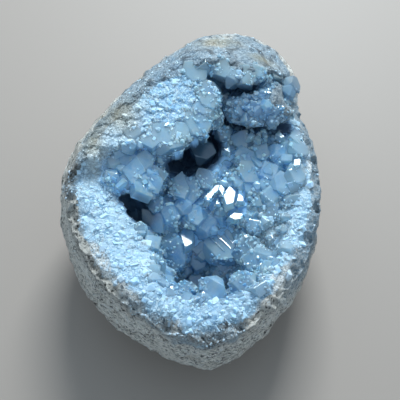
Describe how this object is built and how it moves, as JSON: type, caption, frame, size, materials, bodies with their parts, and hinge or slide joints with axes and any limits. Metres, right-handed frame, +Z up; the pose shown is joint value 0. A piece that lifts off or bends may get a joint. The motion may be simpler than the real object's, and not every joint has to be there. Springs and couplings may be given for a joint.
{
  "type": "celestite geode",
  "caption": "Egg-shaped celestite geode broken open across its top: pitted grey rind, pale massive lining, and a hollow of blocky blue crystals under two remains of its roof.",
  "frame": {"origin": "on the surface that the flat spot rests on, under the middle of the geode's box", "axes": "+Z up, +Y along the geode's length towards the remains of its roof, +X to the right seen from the open end"},
  "size_m": [0.1094, 0.1568, 0.0729],
  "materials": {
    "rind_stone": "rough, pitted and streaked",
    "celestite": "clear to milky crystal faces, sugary where it is broken"
  },
  "bodies": {
    "root": {"rind": "rind_stone", "celestite_lining": "celestite"}
  },
  "joints": []
}
